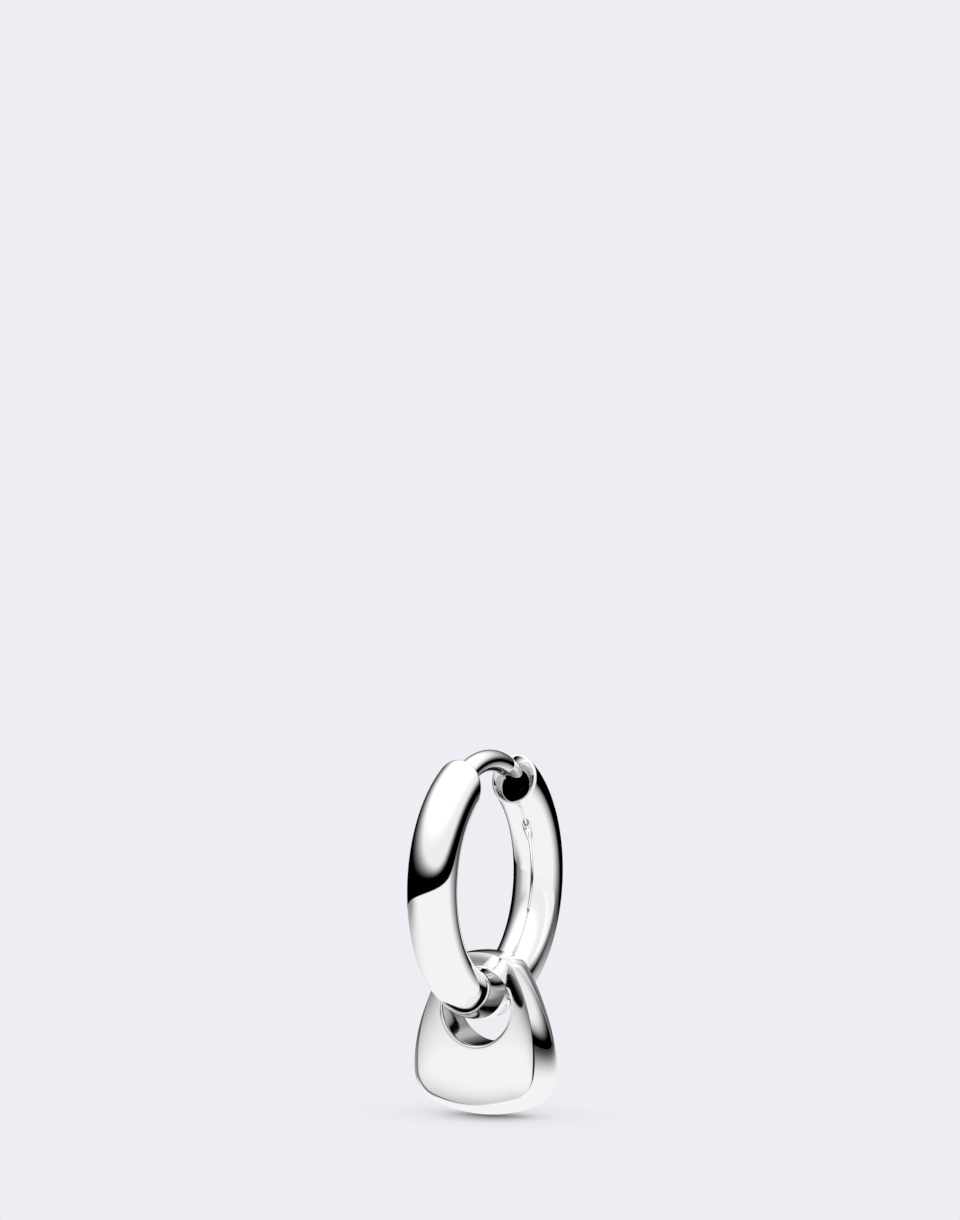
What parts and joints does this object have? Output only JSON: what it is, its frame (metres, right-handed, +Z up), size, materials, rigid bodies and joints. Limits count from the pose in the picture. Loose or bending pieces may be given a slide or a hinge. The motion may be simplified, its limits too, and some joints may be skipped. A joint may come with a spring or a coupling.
{
  "type": "huggie earring",
  "caption": "Hinged round-tube huggie hoop with a curved ear post and socket, and a padlock-shaped drop pendant hanging free on it.",
  "frame": {"origin": "middle of the ear post at its crown, on the post's own middle line, where the post sits in the ear lobe", "axes": "+Z up as worn; the hoop lies in the YZ plane with its front limb and the pendant's face towards -Y; +X across the pendant"},
  "size_m": [0.0078, 0.014, 0.0184],
  "materials": {
    "polished_silver_hoop": "mirror polish",
    "silver_pin": "drawn wire, ends dressed flush",
    "polished_silver_pendant": "mirror polish"
  },
  "bodies": {
    "front": {"front_half": "polished_silver_hoop", "hinge_pin": "silver_pin"},
    "back": {"back_half": "polished_silver_hoop"},
    "drop": {"pendant": "polished_silver_pendant"}
  },
  "joints": [
    {"name": "hoop_hinge", "type": "hinge", "parent": "front", "child": "back", "pos_m": [0, 0, -0.01255], "axis": [-1, 0, 0], "range_deg": [0, 30]},
    {"name": "pendant_swing", "type": "hinge", "parent": "front", "child": "drop", "pos_m": [0, 0, -0.0118], "axis": [0, 1, 0], "range_deg": [-60, 60]}
  ]
}
